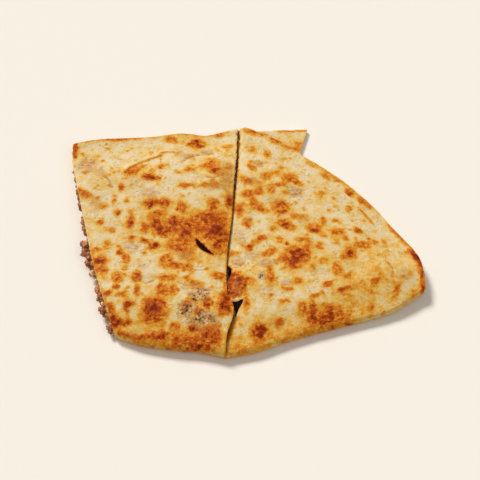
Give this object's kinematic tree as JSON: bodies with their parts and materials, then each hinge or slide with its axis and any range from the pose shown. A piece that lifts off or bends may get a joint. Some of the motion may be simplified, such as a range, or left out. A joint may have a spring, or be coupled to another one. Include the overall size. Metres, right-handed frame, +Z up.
{
  "type": "quesadilla",
  "caption": "Griddled flour tortilla folded over ground beef and melted cheese, knife-cut across into slices that lie together, a corner of the lower layer sticking out.",
  "frame": {"origin": "centre of the bounding box in plan, on the surface the food lies on", "axes": "+Z up; the fold of the tortilla runs along the front, -Y; the round edge is at the back, +Y; the blunt tip of the right slice points to +X"},
  "size_m": [0.2106, 0.1679, 0.0133],
  "materials": {
    "toasted_tortilla": "griddled flour tortilla: cream with yellow, orange and dark brown toast marks, slightly greasy",
    "beef_and_cheese": "moist cooked ground beef with melted cheese"
  },
  "bodies": {
    "root": {"left_tortilla": "toasted_tortilla", "right_tortilla": "toasted_tortilla", "left_filling": "beef_and_cheese", "right_filling": "beef_and_cheese"}
  },
  "joints": []
}
